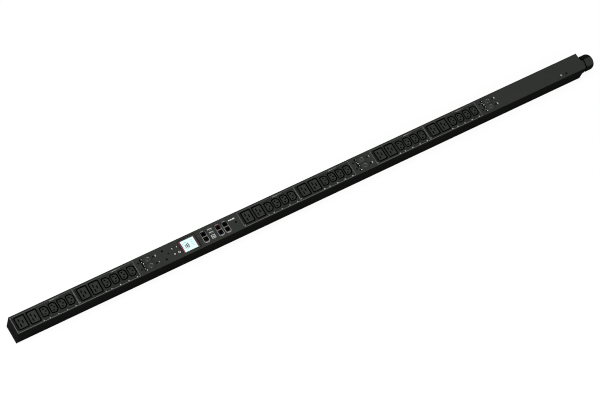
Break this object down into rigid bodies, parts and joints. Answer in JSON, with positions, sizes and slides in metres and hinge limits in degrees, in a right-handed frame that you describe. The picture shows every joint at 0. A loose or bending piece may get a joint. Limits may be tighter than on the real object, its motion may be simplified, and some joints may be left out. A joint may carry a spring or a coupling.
{
  "type": "rack power strip",
  "caption": "Long black vertical rack power strip with outlet modules, breaker rockers, a controller section with a small display, and a cable gland.",
  "frame": {"origin": "centre of the flat rear face of the strip's steel body, without the gland", "axes": "+X along the strip towards the cable gland, +Z out of the outlet face, +Y across the strip"},
  "size_m": [1.8483, 0.052, 0.0608],
  "materials": {
    "powder_black": "fine black powder coat",
    "outlet_black": "fine moulded texture",
    "socket_black": "fine moulded texture",
    "rocker_black": "satin moulded",
    "case_black": "matte moulded",
    "button_black": "satin moulded",
    "zinc_steel": "zinc plated",
    "black_steel": "black oxide",
    "nickel": "nickel plated",
    "copper": "bare copper alloy",
    "gold_contact": "gold plated",
    "terminal_brass": "bare brass",
    "circuit_board": "solder mask",
    "screen": "lit liquid crystal display",
    "window_clear": "clear polycarbonate",
    "liner_film": "polyester film",
    "coil_blue": "potting resin",
    "wire_jacket": "smooth insulation",
    "block_grey": "moulded",
    "gland_black": "satin nylon",
    "seal_rubber": "soft matte"
  },
  "bodies": {
    "strip": {"breaker_cases": "case_black", "breaker_pivot_pins": "nickel", "breaker_screws": "black_steel", "breaker_terminals": "terminal_brass", "busbars_earth": "copper", "busbars_line": "copper", "busbars_neutral": "copper", "chassis_channel": "powder_black", "controller_board": "circuit_board", "current_transformers": "coil_blue", "display_module": "screen", "display_window": "window_clear", "end_cap_plain": "powder_black", "end_plate_gland": "powder_black", "end_screws": "black_steel", "front_panel_control": "powder_black", "front_panel_middle": "powder_black", "front_panel_supply": "powder_black", "gland_body": "gland_black", "gland_locknut": "gland_black", "gland_seal": "seal_rubber", "ground_screw": "zinc_steel", "insulating_liner": "liner_film", "metering_boards": "circuit_board", "outlet_bezel_1": "outlet_black", "outlet_bezel_2": "outlet_black", "outlet_bezel_3": "outlet_black", "outlet_bezel_4": "outlet_black", "outlet_bezel_5": "outlet_black", "outlet_bezel_6": "outlet_black", "panel_screws": "black_steel", "power_supply_board": "circuit_board", "rear_inserts": "zinc_steel", "rj45_contacts": "gold_contact", "rj45_housings": "case_black", "rj45_shields": "nickel", "socket_carrier_1": "socket_black", "socket_carrier_2": "socket_black", "socket_carrier_3": "socket_black", "socket_carrier_4": "socket_black", "socket_carrier_5": "socket_black", "socket_carrier_6": "socket_black", "supply_wires": "wire_jacket", "tact_switches": "case_black", "terminal_block": "block_grey", "usb_ports": "nickel"},
    "rocker_1": {"breaker_rocker_1": "rocker_black"},
    "rocker_2": {"breaker_rocker_2": "rocker_black"},
    "rocker_3": {"breaker_rocker_3": "rocker_black"},
    "rocker_4": {"breaker_rocker_4": "rocker_black"},
    "rocker_5": {"breaker_rocker_5": "rocker_black"},
    "rocker_6": {"breaker_rocker_6": "rocker_black"},
    "up_key": {"button_up": "button_black"},
    "down_key": {"button_down": "button_black"},
    "cancel_key": {"button_cancel": "button_black"},
    "ok_key": {"button_ok": "button_black"},
    "reset_key": {"reset_button": "button_black"},
    "gland_ring": {"gland_thrust_ring": "gland_black"},
    "gland_nut": {"gland_dome_nut": "gland_black"}
  },
  "joints": [
    {"name": "breaker_1_rocker", "type": "hinge", "parent": "strip", "child": "rocker_1", "pos_m": [-0.5148, -0.0097, 0.0534], "axis": [0, 1, 0], "range_deg": [0, 14]},
    {"name": "breaker_2_rocker", "type": "hinge", "parent": "strip", "child": "rocker_2", "pos_m": [-0.5148, 0.0097, 0.0534], "axis": [0, 1, 0], "range_deg": [0, 14]},
    {"name": "breaker_3_rocker", "type": "hinge", "parent": "strip", "child": "rocker_3", "pos_m": [0.1488, -0.0097, 0.0534], "axis": [0, 1, 0], "range_deg": [0, 14]},
    {"name": "breaker_4_rocker", "type": "hinge", "parent": "strip", "child": "rocker_4", "pos_m": [0.1488, 0.0097, 0.0534], "axis": [0, 1, 0], "range_deg": [0, 14]},
    {"name": "breaker_5_rocker", "type": "hinge", "parent": "strip", "child": "rocker_5", "pos_m": [0.5709, -0.0097, 0.0534], "axis": [0, 1, 0], "range_deg": [0, 14]},
    {"name": "breaker_6_rocker", "type": "hinge", "parent": "strip", "child": "rocker_6", "pos_m": [0.5709, 0.0097, 0.0534], "axis": [0, 1, 0], "range_deg": [0, 14]},
    {"name": "up_press", "type": "slide", "parent": "strip", "child": "up_key", "axis": [0, 0, -1], "range_m": [0, 0.0008], "stiffness_N_per_m": 400, "springref_m": -0.0005},
    {"name": "down_press", "type": "slide", "parent": "strip", "child": "down_key", "axis": [0, 0, -1], "range_m": [0, 0.0008], "stiffness_N_per_m": 400, "springref_m": -0.0005},
    {"name": "cancel_press", "type": "slide", "parent": "strip", "child": "cancel_key", "axis": [0, 0, -1], "range_m": [0, 0.0008], "stiffness_N_per_m": 400, "springref_m": -0.0005},
    {"name": "ok_press", "type": "slide", "parent": "strip", "child": "ok_key", "axis": [0, 0, -1], "range_m": [0, 0.0008], "stiffness_N_per_m": 400, "springref_m": -0.0005},
    {"name": "reset_press", "type": "slide", "parent": "strip", "child": "reset_key", "axis": [0, 0, -1], "range_m": [0, 0.0004], "stiffness_N_per_m": 400, "springref_m": -0.0005},
    {"name": "gland_ring_travel", "type": "slide", "parent": "strip", "child": "gland_ring", "axis": [1, 0, 0], "range_m": [0, 0.00601]},
    {"name": "gland_nut_turn", "type": "hinge", "parent": "gland_ring", "child": "gland_nut", "pos_m": [0.93, 0, 0.024], "axis": [1, 0, 0], "range_deg": [0, 1440]}
  ],
  "couplings": [
    {"joint": "gland_ring_travel", "follows": "gland_nut_turn", "m_per_rad": 0.00023873}
  ]
}
